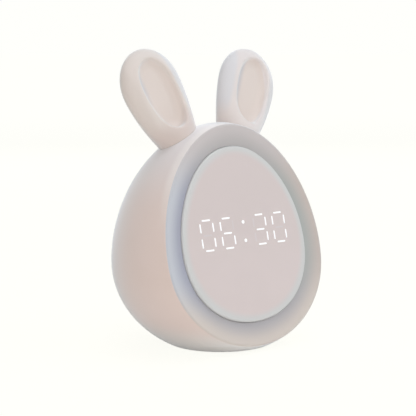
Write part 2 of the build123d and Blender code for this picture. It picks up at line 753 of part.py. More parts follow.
with BuildPart() as control_chips:
    for x, rise, width, height in chips:
        back_block(x, control_board_centre + rise, width, height,
                   control_board_reach - chip_thickness, control_board_reach)

with BuildPart() as switch_bodies:
    for x, z in button_places:
        back_block(x, z, switch_size, switch_size, board_back, switch_back)
    back_cylinder(button_places, plunger_radius + plunger_gap, switch_back - bore_depth, switch_back, Mode.SUBTRACT)


def button_cap(place):
    """Button that pokes out through the cover, with a flange that keeps it in."""
    with BuildPart() as cap:
        back_cylinder([place], button_radius, button_seat, back_reach + button_proud)
        crown = cap.faces().sort_by(Axis.Y)[-1]
        fillet(crown.edges(), radius=button_dome)
        back_cylinder([place], button_radius + button_flange, button_seat, button_seat + button_flange_thickness)
    return cap.part


def switch_plunger(place):
    """Plunger of a push switch, moved by the button that rests on it."""
    with BuildPart() as plunger:
        back_cylinder([place], plunger_radius, button_seat - plunger_depth, button_seat)
    return plunger.part


for place, name in zip(button_places, button_names):
    pieces[f"button_{name}"] = button_cap(place)
    pieces[f"switch_plunger_{name}"] = switch_plunger(place)

# slide switch, at rest at the low-X end of its travel
slide_plate_back = back_inside - running_gap
slide_plate_front = slide_plate_back - slide_plate_thickness
slide_body_back = board_back + slide_body[2]
with BuildPart() as slide_switch:
    back_block(slide_centre, slide_level, slide_body[0], slide_body[1], board_back, slide_body_back)
    back_block(slide_centre, slide_level, slide_peg + slide_travel + 2 * slide_gap, slide_peg + 2 * slide_gap,
               slide_body_back - slide_bore_depth, slide_body_back, Mode.SUBTRACT)
with BuildPart() as slide_knob:
    back_block(slide_rest, slide_level, slide_peg, slide_peg, slide_body_back - slide_peg_depth, slide_plate_front)
    back_block(slide_rest, slide_level, slide_knob_width + slide_travel + 2 * slide_plate_margin,
               slide_knob_height + 2 * slide_plate_margin, slide_plate_front, slide_plate_back)
    back_block(slide_rest, slide_level, slide_knob_width, slide_knob_height,
               slide_plate_back, back_reach + slide_knob_proud)
    for groove in range(knurl_count):
        shift = slide_knob_width * ((groove + 1) / (knurl_count + 1) - 0.5)
        back_block(slide_rest + shift, slide_level, knurl_width, slide_knob_height,
                   back_reach + slide_knob_proud - knurl_depth, back_reach + slide_knob_proud, Mode.SUBTRACT)

# charging socket
usb_mouth = back_reach - usb_setback
usb_corner = usb_height / 2 - usb_round_left
with BuildPart() as usb_shell:
    back_block(usb_centre, usb_level, usb_width, usb_height, board_back, usb_mouth, corner=usb_corner)
    back_block(usb_centre, usb_level, usb_width - 2 * usb_metal, usb_height - 2 * usb_metal,
               board_back + usb_metal, usb_mouth, Mode.SUBTRACT, corner=usb_corner - usb_metal)
with BuildPart() as usb_tongue_piece:
    back_block(usb_centre, usb_level, usb_tongue[0], usb_tongue[1], board_back + usb_metal,
               board_back + usb_metal + usb_tongue[2])

pieces["control_board"] = control_board.part
pieces["control_chips"] = control_chips.part
pieces["switch_bodies"] = switch_bodies.part
pieces["slide_switch"] = slide_switch.part
pieces["slide_knob"] = slide_knob.part
pieces["usb_shell"] = usb_shell.part
pieces["usb_tongue"] = usb_tongue_piece.part
pieces["board_screws"] = screws(
    Plane(origin=(0, control_board_reach, 0), x_dir=(1, 0, 0), z_dir=(0, -1, 0)), board_boss_places,
    small_screw_radius, small_screw_length, small_screw_head, small_head_height)

# ================================================================ loudspeaker
gasket_back = back_inside
flange_back = gasket_back - speaker_gasket_thickness
flange_front = flange_back - speaker_flange
basket_front = flange_front - basket_depth


def turned(points):
    """Ring about the loudspeaker's axis: (radius, distance behind the clock's axis) points."""
    with BuildPart() as ring:
        with BuildSketch(Plane(origin=(0, 0, speaker_level), x_dir=(1, 0, 0), z_dir=(0, 0, 1))) as section:
            with BuildLine():
                Polyline(*points, close=True)
            make_face()
        revolve(section.sketch, axis=Axis((0, 0, speaker_level), (0, 1, 0)))
    return ring.part


pieces["speaker_gasket"] = turned([
    (speaker_radius, flange_back), (speaker_radius, gasket_back),
    (speaker_radius - gasket_width, gasket_back), (speaker_radius - gasket_width, flange_back)])
pieces["speaker_frame"] = turned([
    (speaker_radius, flange_back), (speaker_radius, flange_front), (basket_radius, flange_front),
    (basket_end, basket_front), (0, basket_front), (0, basket_front + basket_skin),
    (basket_end - basket_skin, basket_front + basket_skin), (basket_radius - basket_lip, flange_back)])
pieces["speaker_cone"] = turned([
    (basket_radius - basket_lip, flange_back), (cone_radius, flange_back - cone_edge),
    (cone_end, flange_back - cone_depth), (0, flange_back - cone_depth + cap_rise),
    (0, flange_back - cone_depth + cap_rise + cone_skin), (cone_end, flange_back - cone_depth + cone_skin),
    (cone_radius, flange_back - cone_edge + cone_skin)])
pieces["speaker_magnet"] = turned([
    (magnet_radius, basket_front), (magnet_radius, basket_front - magnet_thickness),
    (0, basket_front - magnet_thickness), (0, basket_front)])
pieces["speaker_retainer"] = turned([
    (ring_bore, flange_front), (ring_bore, flange_front - clamp_ring_thickness),
    (ring_bore - clamp_ring_width, flange_front - clamp_ring_thickness), (ring_bore - clamp_ring_width, flange_front)])

# ================================================================ battery
cell_level = cradle_level + cradle_floor + cell_gap + cell_radius
cell_axis = Plane(origin=(0, cell_setback, cell_level), x_dir=(0, 1, 0), z_dir=(1, 0, 0))
with BuildPart() as battery_cell:
    with BuildSketch(cell_axis.offset(-cell_length / 2)):
        Circle(cell_radius)
    extrude(amount=cell_length)
    fillet(battery_cell.edges().filter_by(GeomType.CIRCLE), radius=cell_round)
    with BuildSketch(cell_axis.offset(cell_length / 2)):
        Circle(cell_nub_radius)
    extrude(amount=cell_nub)

inner_length = cell_length + cell_nub + 2 * contact_thickness
inner_start = -cell_length / 2 - contact_thickness
with BuildPart() as battery_cradle:
    with Locations((inner_start - cradle_wall, cell_setback, cradle_level)):
        Box(inner_length + 2 * cradle_wall, 2 * (trough_radius + cradle_wall), cell_level - cradle_level,
            align=(Align.MIN, Align.CENTER, Align.MIN))
    # lugs that the cradle is screwed down by
    with BuildSketch(Plane.XY.offset(cradle_level)):
        with Locations((0, cell_setback)):
            with GridLocations(2 * post_spread, 0, 2, 1):
                SlotCenterToCenter(post_pitch, 2 * post_radius, rotation=90)
    extrude(amount=lug_thickness)
    with BuildSketch(cell_axis.offset(inner_start)):
        Circle(trough_radius)
    extrude(amount=inner_length, mode=Mode.SUBTRACT)
    with BuildSketch(Plane.XY.offset(cradle_level)):
        with Locations((0, cell_setback)):
            with GridLocations(2 * post_spread, post_pitch, 2, 2):
                Circle(small_screw_radius + screw_clearance / 2)
    extrude(amount=lug_thickness, mode=Mode.SUBTRACT)

with BuildPart() as battery_contacts:
    for end in (inner_start, inner_start + inner_length - contact_thickness):
        with Locations((end, cell_setback, cell_level)):
            Box(contact_thickness, contact_size, contact_size, align=(Align.MIN, Align.CENTER, Align.CENTER))

pieces["battery_cell"] = battery_cell.part
pieces["battery_cradle"] = battery_cradle.part
pieces["cradle_screws"] = screws(
    Plane.XY.offset(cradle_level + lug_thickness),
    [(x, cell_setback + y) for x in (-post_spread, post_spread) for y in (-post_pitch / 2, post_pitch / 2)],
    small_screw_radius, small_screw_length, small_screw_head, small_head_height)
pieces["battery_contacts"] = battery_contacts.part

with BuildPart() as foot_pad:
    Cylinder(foot_radius, foot_thickness, align=(Align.CENTER, Align.CENTER, Align.MIN))
    chamfer(foot_pad.edges().group_by(Axis.Z)[0], length=foot_bevel)
pieces["foot_pad"] = foot_pad.part

os.makedirs("parts", exist_ok=True)
for name, piece in pieces.items():
    piece.label = name
    export_step(piece, f"parts/{name}.step")
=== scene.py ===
"""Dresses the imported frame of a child's bedside alarm clock with a glowing front panel.

The clock is an egg-shaped body with two ears.  Its construction comes from the
frame; this script gives every piece its finish, adds the small fittings that
show from outside, and sets up a plain studio with the camera.
"""

import logging
import math
from collections.abc import Iterable, Sequence
from dataclasses import dataclass, field
from enum import Enum
from typing import Any

import bpy
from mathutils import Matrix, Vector

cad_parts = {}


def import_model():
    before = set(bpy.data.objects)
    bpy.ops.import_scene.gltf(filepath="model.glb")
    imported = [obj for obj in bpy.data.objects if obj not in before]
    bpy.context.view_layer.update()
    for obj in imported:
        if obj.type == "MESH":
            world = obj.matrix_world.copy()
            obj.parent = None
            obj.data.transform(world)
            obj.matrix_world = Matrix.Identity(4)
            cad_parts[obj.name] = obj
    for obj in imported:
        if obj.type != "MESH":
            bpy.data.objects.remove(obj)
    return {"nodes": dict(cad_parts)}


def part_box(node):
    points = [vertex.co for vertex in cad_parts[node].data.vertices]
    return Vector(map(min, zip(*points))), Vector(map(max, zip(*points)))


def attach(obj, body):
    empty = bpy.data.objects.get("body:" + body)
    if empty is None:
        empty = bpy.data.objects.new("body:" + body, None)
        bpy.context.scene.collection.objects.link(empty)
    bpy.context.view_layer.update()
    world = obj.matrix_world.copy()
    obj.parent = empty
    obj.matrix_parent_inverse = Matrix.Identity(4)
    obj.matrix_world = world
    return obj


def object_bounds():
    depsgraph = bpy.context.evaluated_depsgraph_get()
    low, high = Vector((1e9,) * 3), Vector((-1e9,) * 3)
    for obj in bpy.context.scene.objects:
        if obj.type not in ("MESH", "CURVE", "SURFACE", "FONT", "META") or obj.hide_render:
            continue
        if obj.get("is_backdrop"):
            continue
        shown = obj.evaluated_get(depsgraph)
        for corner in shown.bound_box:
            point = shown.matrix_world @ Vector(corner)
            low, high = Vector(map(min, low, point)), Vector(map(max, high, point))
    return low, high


log = logging.getLogger("clock")

MM = 0.001
Colour = tuple[float, float, float]
Span = tuple[float, float]  # where a shade starts, and where it is full

# the rim's lowest and highest points, in the plane X = 0, and the panel's half sizes,
# how far its middle lies above the rim's, and by how much it narrows towards its top
RIM_LOW = Vector((0, -25.73, 3.0)) * MM
RIM_HIGH = Vector((0, -5.1, 89.23)) * MM
FACE_CENTRE = (RIM_LOW + RIM_HIGH) / 2
FACE_UP = (RIM_HIGH - RIM_LOW).normalized()
FACE_OUT = Vector((1, 0, 0)).cross(FACE_UP)
PANEL_HALF_WIDTH, PANEL_HALF_HEIGHT = 31.7 * MM, 35.3 * MM
PANEL_RISE, PANEL_TAPER = 0.35 * MM, 0.127

# an ear's base point, how far it splays and leans, and its dish's middle and half sizes
EAR_SPREAD, EAR_SETBACK, EAR_HEIGHT = 16.9 * MM, 8.3 * MM, 86.16 * MM
EAR_SPLAY, EAR_LEAN = math.radians(24.3), math.radians(12.8)
DISH_MIDDLE, DISH_HALF_WIDTH, DISH_HALF_HEIGHT = 16.25 * MM, 7.7 * MM, 14.75 * MM

NOISE_MEAN, NOISE_ROUGHNESS = 0.5, 0.55
BRICK_ROW = 0.25  # a row's height in the Brick Texture's own units
# the Mix node's sockets for colours, whose names its other sockets share
MIX_FIRST, MIX_SECOND, MIX_RESULT = 6, 7, 2


# ---------------------------------------------------------------- shader maths
class Socket:
    """An output of a shader node that Python's operators can work with."""

    def __init__(self, graph: "Graph", output: bpy.types.NodeSocket) -> None:
        """Wraps an output.

        Args:
            graph: The node graph that the output belongs to.
            output: The output itself.
        """
        self.graph = graph
        self.output = output

    def __add__(self, other: "Socket | float") -> "Socket":
        """Adds a value."""
        return self.graph.math("ADD", self, other)

    __radd__ = __add__

    def __sub__(self, other: "Socket | float") -> "Socket":
        """Takes a value away."""
        return self.graph.math("SUBTRACT", self, other)

    def __rsub__(self, other: "Socket | float") -> "Socket":
        """Takes this away from a value."""
        return self.graph.math("SUBTRACT", other, self)

    def __mul__(self, other: "Socket | float") -> "Socket":
        """Multiplies by a value."""
        return self.graph.math("MULTIPLY", self, other)

    __rmul__ = __mul__

    def __truediv__(self, other: "Socket | float") -> "Socket":
        """Divides by a value."""
        return self.graph.math("DIVIDE", self, other)

    def clamped(self) -> "Socket":
        """Keeps the value between 0 and 1."""
        return self.graph.math("MINIMUM", self.graph.math("MAXIMUM", self, 0.0), 1.0)

    def about(self, middle: float, swing: float) -> "Socket":
        """Turns noise into a value that swings about a middle."""
        return middle + (self - NOISE_MEAN) * swing

    def ramped(self, span: Span) -> "Socket":
        """Rises smoothly from 0 to 1.

        Args:
            span: The value that gives 0 and the value that gives 1.

        Returns:
            The smoothed share.
        """
        return self.graph.node("ShaderNodeMapRange", {"interpolation_type": "SMOOTHSTEP"},
                               {"Value": self, "From Min": span[0], "From Max": span[1]})


class Graph:
    """The nodes of one material or of the world."""

    def __init__(self, owner: "bpy.types.Material | bpy.types.World") -> None:
        """Starts without nodes.

        Args:
            owner: The material or world.
        """
        owner.use_nodes = True
        self.owner = owner
        self.tree = owner.node_tree
        self.tree.nodes.clear()

    def add(self, kind: str, settings: dict[str, Any] | None = None,
            inputs: dict[str | int, Any] | None = None) -> bpy.types.Node:
        """Adds any node.

        Args:
            kind: The node's type.
            settings: Its own settings, set before its sockets.
            inputs: Values or links by socket name or number.

        Returns:
            The node.
        """
        made = self.tree.nodes.new(kind)
        for key, value in (settings or {}).items():
            setattr(made, key, value)
        for key, value in (inputs or {}).items():
            if isinstance(value, Socket):
                self.tree.links.new(value.output, made.inputs[key])
            else:
                made.inputs[key].default_value = value
        return made

    def node(self, kind: str, settings: dict[str, Any] | None = None,
             inputs: dict[str | int, Any] | None = None, output: str | int = 0) -> Socket:
        """Adds any node for one of its outputs, given by name or number."""
        return Socket(self, self.add(kind, settings, inputs).outputs[output])

    def math(self, operation: str, first: "Socket | float", second: "Socket | float") -> Socket:
        """Adds a Math node on two values."""
        return self.node("ShaderNodeMath", {"operation": operation}, {0: first, 1: second})

    def coordinates(self) -> Socket:
        """Gives a point's place on the object, in metres."""
        return self.node("ShaderNodeTexCoord", output="Object")

    def axis(self, name: str) -> Socket:
        """Gives one coordinate of a point, in metres."""
        return self.node("ShaderNodeSeparateXYZ", inputs={0: self.coordinates()}, output=name)

    def along(self, line: Vector, start: Vector | None = None) -> Socket:
        """Gives how far a point lies along a line.

        Args:
            line: The line's direction.
            start: Where it starts; without it, the surface's normal is measured instead.

        Returns:
            The distance in metres, or the cosine between the line and the normal.
        """
        if start is None:
            measured = self.node("ShaderNodeTexCoord", output="Normal")
        else:
            measured = self.node("ShaderNodeVectorMath", {"operation": "SUBTRACT"}, {
                0: self.coordinates(), 1: tuple(start)})
        return self.node("ShaderNodeVectorMath", {"operation": "DOT_PRODUCT"}, {
            0: measured, 1: tuple(line)}, output="Value")

    def egg(self) -> Socket:
        """Measures how far out a point of the face lies.

        Returns:
            The square of the distance: 0 in the middle and 1 at the panel's edge.
        """
        up = (self.along(FACE_UP, FACE_CENTRE) - PANEL_RISE) / PANEL_HALF_HEIGHT
        across = self.axis("X") / (PANEL_HALF_WIDTH * (1 - PANEL_TAPER * up))
        return across * across + up * up

    def noise(self, size: float, detail: float = 2.0, stretch: Sequence[float] = (1, 1, 1)) -> Socket:
        """Adds noise about NOISE_MEAN.

        Args:
            size: Size of its features, in metres.
            detail: How many finer layers it has.
            stretch: How many times longer they are along each axis.

        Returns:
            The noise.
        """
        mapped = self.node("ShaderNodeMapping", inputs={
            "Vector": self.coordinates(), "Scale": tuple(1 / s for s in stretch)})
        return self.node("ShaderNodeTexNoise", inputs={
            "Vector": mapped, "Scale": 1 / size, "Detail": detail, "Roughness": NOISE_ROUGHNESS})

    def blend(self, share: "Socket | float", first: "Socket | Colour",
              second: "Socket | Colour") -> Socket:
        """Mixes two colours.

        Args:
            share: 0 for the first, 1 for the second.
            first: A colour or a link.
            second: A colour or a link.

        Returns:
            The mixed colour.
        """
        below, above = (c if isinstance(c, Socket) else (*c, 1.0) for c in (first, second))
        return self.node("ShaderNodeMix", {"data_type": "RGBA"}, {
            0: share, MIX_FIRST: below, MIX_SECOND: above}, output=MIX_RESULT)

    def layered(self, colour: Socket, *layers: "tuple[Socket, Socket | Colour]") -> Socket:
        """Lays shades over a colour, one after the other.

        Args:
            colour: The colour at the bottom.
            layers: The share and the colour of each shade.

        Returns:
            What shows.
        """
        for share, shade in layers:
            colour = self.blend(share, colour, shade)
        return colour

    def bumps(self, height: Socket, depth: float) -> Socket:
        """Turns a height between 0 and 1, which stands for a depth in metres, into a normal."""
        return self.node("ShaderNodeBump", inputs={"Height": height, "Distance": depth, "Strength": 1.0})

    def end(self, kind: str, shader: Socket) -> None:
        """Ends the graph with an output node of one kind, which shows a shader."""
        self.add(kind, inputs={"Surface": shader})

    def surface(self, **sockets: Any) -> bpy.types.Material:
        """Ends the graph in one Principled surface.

        Args:
            sockets: Its inputs, with underscores for spaces.

        Returns:
            The finished material.
        """
        inputs = {key.replace("_", " "): value for key, value in sockets.items()}
        for key in ("Base Color", "Emission Color", "Sheen Tint"):
            if key in inputs and not isinstance(inputs[key], Socket):
                inputs[key] = (*inputs[key], 1.0)
        self.end("ShaderNodeOutputMaterial", self.node("ShaderNodeBsdfPrincipled", inputs=inputs))
        return self.owner


# ---------------------------------------------------------------- finishes
def scaled(colour: Colour, share: float) -> Colour:
    """Gives a darker colour."""
    return tuple(share * part for part in colour)


@dataclass(frozen=True)
class MattPlastic:
    """Moulded plastic with a fine, soft-touch grain and barely uneven colour."""

    name: str
    colour: Colour
    tint: Colour
    roughness: float = 0.55
    roughness_swing: float = 0.10
    sheen: float = 1.0
    sheen_roughness: float = 0.5
    sheen_tint: Colour = (0.90, 0.96, 1.0)
    specular: float = 0.25
    grain: float = 0.32 * MM
    grain_depth: float = 0.010 * MM
    patch: float = 22 * MM
    patch_span: Span = (0.35, 0.65)

    def base(self, graph: Graph) -> Socket:
        """Gives the colour, barely uneven."""
        patches = graph.noise(self.patch, detail=1.0).ramped(self.patch_span)
        return graph.blend(patches, self.colour, self.tint)

    def material(self) -> bpy.types.Material:
        """Builds the material.

        Returns:
            The material.
        """
        graph = Graph(bpy.data.materials.new(self.name))
        fine = graph.noise(self.grain)
        return graph.surface(
            Base_Color=self.base(graph),
            Roughness=fine.about(self.roughness, self.roughness_swing),
            Normal=graph.bumps(fine, self.grain_depth),
            Sheen_Weight=self.sheen,
            Sheen_Roughness=self.sheen_roughness,
            Sheen_Tint=self.sheen_tint,
            Specular_IOR_Level=self.specular,
        )


@dataclass(frozen=True)
class RingPaintedShades:
    """Painted shade of the ring that slopes in to the panel, in one part of the clock's face."""

    rim: Colour
    panel_shadow: Colour

    def shade(self, graph: Graph, share: Socket) -> Socket:
        """Blends from the painted shade at the rim, 0, to the painted shadow next to the panel, 1."""
        return graph.blend(share, self.rim, self.panel_shadow)


@dataclass(frozen=True)
class HousingPlastic(MattPlastic):
    """The shell's plastic, with painted shade on the ring, deepest next to the panel, and painted light and
    shade elsewhere.
    """

    # painted shade on the ring: each part is tinted as light falls on it, bluish on the left and warm on
    # the right, deepening to a painted shadow next to the panel
    left: RingPaintedShades = RingPaintedShades((0.55, 0.56, 0.60), (0.36, 0.365, 0.44))
    right: RingPaintedShades = RingPaintedShades((0.553, 0.48, 0.437), (0.415, 0.425, 0.405))
    top: RingPaintedShades = RingPaintedShades((0.59, 0.535, 0.52), (0.48, 0.445, 0.43))
    low: RingPaintedShades = RingPaintedShades((0.65, 0.57, 0.51), (0.435, 0.41, 0.42))
    panel_shadow_span: Span = (1.50, 1.02)
    right_span: Span = (-30 * MM, 30 * MM)
    top_span: Span = (15 * MM, 39 * MM)
    low_span: Span = (-12 * MM, -34.5 * MM)
    facing_span: Span = (0.50, 0.90)
    # painted cool shade over the back half of the shell
    rear: Colour = (0.765, 0.655, 0.60)
    rear_span: Span = (0 * MM, 24 * MM)
    # painted light from the floor along the bottom
    keel_bounce_light: Colour = (0.80, 0.745, 0.695)
    keel_bounce_span: Span = (15 * MM, 3 * MM)
    # painted top light over the top of the body
    crown_top_light: Colour = (0.775, 0.70, 0.68)
    crown_light_span: Span = (55 * MM, 84 * MM)
    # painted highlight above the panel
    brow_highlight: Colour = (0.92, 0.85, 0.80)
    brow_highlight_share: float = 0.55
    brow_highlight_depth: Span = (-4.5 * MM, -1.35 * MM)
    brow_highlight_span: Span = (0 * MM, 30 * MM)
    parting: float = 27 * MM
    parting_share: float = 0.75
    parting_shade: float = 0.35
    parting_span: Span = (0.16 * MM, 0.048 * MM)

    def base(self, graph: Graph) -> Socket:
        """Gives the ring its painted shade, and the rest of the shell its colour with painted light and
        shade.

        Args:
            graph: The material's nodes.

        Returns:
            The colour, with a dark line where the rear cover meets the shell.
        """
        facing = graph.along(FACE_OUT).ramped(self.facing_span)
        shell = graph.blend(facing, self.plain(graph), self.ring(graph))
        away = graph.math("ABSOLUTE", graph.axis("Y") - self.parting, 0.0)
        line = away.ramped(self.parting_span) * self.parting_share
        return graph.blend(line, shell, scaled(self.rear, self.parting_shade))

    def ring(self, graph: Graph) -> Socket:
        """Paints shade on the ring, which looks forwards, by the part of the face.

        Args:
            graph: The material's nodes.

        Returns:
            The ring's painted shade.
        """
        share = graph.egg().ramped(self.panel_shadow_span)
        up = graph.along(FACE_UP, FACE_CENTRE)
        return graph.layered(
            self.left.shade(graph, share),
            (graph.axis("X").ramped(self.right_span), self.right.shade(graph, share)),
            (up.ramped(self.top_span), self.top.shade(graph, share)),
            (up.ramped(self.low_span), self.low.shade(graph, share)),
        )

    def plain(self, graph: Graph) -> Socket:
        """Paints a cool shade on the back half, light from the floor along the bottom, top light over the
        top and a highlight above the panel.

        Args:
            graph: The material's nodes.

        Returns:
            The colour outside the ring.
        """
        height = graph.axis("Z")
        near = graph.along(FACE_OUT, FACE_CENTRE).ramped(self.brow_highlight_depth)
        up = graph.along(FACE_UP, FACE_CENTRE).ramped(self.brow_highlight_span)
        return graph.layered(
            super().base(graph),
            (graph.axis("Y").ramped(self.rear_span), self.rear),
            (height.ramped(self.keel_bounce_span), self.keel_bounce_light),
            (height.ramped(self.crown_light_span), self.crown_top_light),
            (near * up * self.brow_highlight_share, self.brow_highlight),
        )


@dataclass(frozen=True)
class EarPlastic(MattPlastic):
    """An ear's plastic: the dish is creamier than its rim, and painted shade lies on the dish's left slope,
    the edges and the ear's base.

    Sides and heights are in half sizes of the dish from its middle, and depths
    are how far a point lies in front of the ear's base point.
    """

    side: int = 1
    dish: Colour = (0.765, 0.665, 0.605)
    dish_span: Span = (1.03, 0.90)
    dish_depth: Span = (0.5 * MM, 1.5 * MM)
    # painted shadow on the dish's left slope
    wall_shadow: Colour = (0.59, 0.555, 0.565)
    wall_shadow_side: Span = (-0.40, -0.85)
    wall_shadow_height: Span = (-1.6, -0.8)
    # painted shade along the ear's outer edge
    edge: Colour = (0.69, 0.645, 0.625)
    edge_side: Span = (1.0, 1.3)
    edge_depth: Span = (-1.0 * MM, 0.5 * MM)
    # painted bluish shade on the ear's far side
    flank_shade: Colour = (0.73, 0.705, 0.71)
    flank_shade_side: Span = (-1.1, -1.4)
    flank_shade_depth: Span = (-3.5 * MM, -1.5 * MM)
    # painted shade in the crease where the ear meets the body
    root_shade: Colour = (0.70, 0.595, 0.545)
    root_shade_span: Span = (9 * MM, 0 * MM)

    def base(self, graph: Graph) -> Socket:
        """Gives the colour, with painted shade, by where a point lies across, along and in front of the
        ear.

        Args:
            graph: The material's nodes.

        Returns:
            The colour.
        """
        start = Vector((self.side * EAR_SPREAD, EAR_SETBACK, EAR_HEIGHT))
        tilt = self.side * math.sin(EAR_SPLAY)
        along = graph.along(Vector((tilt, math.sin(EAR_LEAN) * math.cos(EAR_SPLAY),
                                    math.cos(EAR_LEAN) * math.cos(EAR_SPLAY))), start)
        across = graph.along(Vector((math.cos(EAR_SPLAY), -math.sin(EAR_LEAN) * tilt,
                                     -math.cos(EAR_LEAN) * tilt)), start)
        front = graph.along(Vector((0, -math.cos(EAR_LEAN), math.sin(EAR_LEAN))), start)
        wide, high = across / DISH_HALF_WIDTH, (along - DISH_MIDDLE) / DISH_HALF_HEIGHT
        inside = (wide * wide + high * high).ramped(self.dish_span) * front.ramped(self.dish_depth)
        shadowed = wide.ramped(self.wall_shadow_side) * high.ramped(self.wall_shadow_height)
        return graph.layered(
            super().base(graph),
            (wide.ramped(self.edge_side) * front.ramped(self.edge_depth), self.edge),
            (wide.ramped(self.flank_shade_side) * front.ramped(self.flank_shade_depth), self.flank_shade),
            (along.ramped(self.root_shade_span), self.root_shade),
            (inside, graph.blend(shadowed, self.dish, self.wall_shadow)),
        )


@dataclass(frozen=True)
class MouldedPlastic:
    """Plain moulded plastic of the inner pieces, with faint flow marks."""

    name: str
    colour: Colour
    roughness: float = 0.42
    roughness_swing: float = 0.15
    flow: float = 6 * MM
    flow_detail: float = 3.0
    flow_stretch: tuple[int, int, int] = (4, 1, 1)
    flow_shade: float = 0.93
    grain: float = 0.5 * MM
    grain_depth: float = 0.006 * MM

    def material(self) -> bpy.types.Material:
        """Builds the material.

        Returns:
            The material.
        """
        graph = Graph(bpy.data.materials.new(self.name))
        marks = graph.noise(self.flow, self.flow_detail, self.flow_stretch)
        return graph.surface(
            Base_Color=graph.blend(marks, scaled(self.colour, self.flow_shade), self.colour),
            Roughness=marks.about(self.roughness, self.roughness_swing),
            Normal=graph.bumps(graph.noise(self.grain), self.grain_depth),
        )


@dataclass(frozen=True)
class MilkyPanel:
    """Satin diffuser whose middle is a little warmer than its rounded edge, where a bluish sheen is
    painted, with painted shade towards its top.
    """

    name: str = "panel_milk"
    middle: Colour = (0.714, 0.623, 0.603)
    # painted shade, darker towards the panel's top
    top_shade: Colour = (0.685, 0.600, 0.580)
    top_shade_span: Span = (-20 * MM, 10 * MM)
    # painted bluish sheen on the rounded edge
    edge: Colour = (0.655, 0.65, 0.635)
    edge_span: Span = (0.77, 0.95)
    cloud: float = 14 * MM
    cloud_span: Span = (0.3, 0.7)
    cloud_shade: float = 0.985
    roughness: float = 0.48
    roughness_swing: float = 0.08
    grain: float = 0.25 * MM
    grain_depth: float = 0.005 * MM
    specular: float = 0.25

    def material(self) -> bpy.types.Material:
        """Builds the material.

        Returns:
            The material.
        """
        graph = Graph(bpy.data.materials.new(self.name))
        clouds = graph.noise(self.cloud, detail=1.0).ramped(self.cloud_span)
        rise = graph.along(FACE_UP, FACE_CENTRE).ramped(self.top_shade_span)
        clear = graph.blend(rise, self.middle, self.top_shade)
        cloudy = graph.blend(rise, scaled(self.middle, self.cloud_shade), self.top_shade)
        fine = graph.noise(self.grain)
        return graph.surface(
            Base_Color=graph.layered(
                clear, (clouds, cloudy), (graph.egg().ramped(self.edge_span), self.edge)),
            Roughness=fine.about(self.roughness, self.roughness_swing),
            Normal=graph.bumps(fine, self.grain_depth),
            Specular_IOR_Level=self.specular,
        )


@dataclass(frozen=True)
class LitStroke:
    """Milky light guide with a lamp behind it."""

    name: str = "digit_light"
    guide: Colour = (0.45, 0.45, 0.45)
    roughness: float = 0.4
    light: Colour = (0.97, 0.98, 1.0)
    strength: float = 0.70
    patch: float = 1.5 * MM
    patch_shade: float = 0.9

    def material(self) -> bpy.types.Material:
        """Builds the material.

        Returns:
            The material.
        """
        graph = Graph(bpy.data.materials.new(self.name))
        even = graph.noise(self.patch, detail=1.0)
        return graph.surface(
            Base_Color=self.guide,
            Roughness=self.roughness,
            Emission_Color=graph.blend(even, scaled(self.light, self.patch_shade), self.light),
            Emission_Strength=self.strength,
        )


@dataclass(frozen=True)
class PlatedMetal:
    """Pressed or turned metal with fine drawing lines."""

    name: str
    colour: Colour = (0.62, 0.62, 0.63)
    roughness: float = 0.32
    line: float = 0.08 * MM
    line_stretch: tuple[int, int, int] = (1, 20, 1)
    line_roughness: float = 0.12
    line_depth: float = 0.004 * MM
    stain: float = 3 * MM
    stain_span: Span = (0.4, 0.8)
    stain_roughness: float = 0.08
    stain_shade: float = 0.8

    def material(self) -> bpy.types.Material:
        """Builds the material.

        Returns:
            The material.
        """
        graph = Graph(bpy.data.materials.new(self.name))
        lines = graph.noise(self.line, detail=1.0, stretch=self.line_stretch)
        stains = graph.noise(self.stain).ramped(self.stain_span)
        return graph.surface(
            Base_Color=graph.blend(stains, self.colour, scaled(self.colour, self.stain_shade)),
            Metallic=1.0,
            Roughness=self.roughness + lines * self.line_roughness + stains * self.stain_roughness,
            Normal=graph.bumps(lines, self.line_depth),
        )


@dataclass(frozen=True)
class SolderMask:
    """Lacquer of a circuit board, with traces that stand out under it."""

    name: str
    colour: Colour
    trace: Colour
    trace_pitch: float = 1.6 * MM
    trace_width: float = 0.03
    trace_depth: float = 0.03 * MM
    roughness: float = 0.3

    def material(self) -> bpy.types.Material:
        """Builds the material.

        Returns:
            The material.
        """
        graph = Graph(bpy.data.materials.new(self.name))
        black, white = (0, 0, 0, 1), (1, 1, 1, 1)
        rows = graph.node("ShaderNodeTexBrick", inputs={
            "Vector": graph.coordinates(), "Scale": BRICK_ROW / self.trace_pitch,
            "Mortar Size": self.trace_width, "Color1": black, "Color2": black, "Mortar": white})
        traces = graph.node("ShaderNodeSeparateColor", inputs={0: rows})
        return graph.surface(
            Base_Color=graph.blend(traces, self.colour, self.trace),
            Roughness=self.roughness,
            Normal=graph.bumps(traces, self.trace_depth),
        )


@dataclass(frozen=True)
class SoftRubber:
    """Soft rubber with a dusty bloom."""

    name: str
    colour: Colour
    roughness: float = 0.75
    bloom: float = 2.5 * MM
    bloom_span: Span = (0.4, 0.7)
    bloom_gain: float = 1.12
    bloom_lift: float = 0.02
    bloom_roughness: float = 0.1
    grain: float = 0.4 * MM
    grain_depth: float = 0.02 * MM
    detail: float = 4.0

    def material(self) -> bpy.types.Material:
        """Builds the material.

        Returns:
            The material.
        """
        graph = Graph(bpy.data.materials.new(self.name))
        bloom = graph.noise(self.bloom, self.detail).ramped(self.bloom_span)
        pale = tuple(min(1.0, self.bloom_gain * part + self.bloom_lift) for part in self.colour)
        return graph.surface(
            Base_Color=graph.blend(bloom, self.colour, pale),
            Roughness=self.roughness + bloom * self.bloom_roughness,
            Normal=graph.bumps(graph.noise(self.grain, self.detail), self.grain_depth),
        )


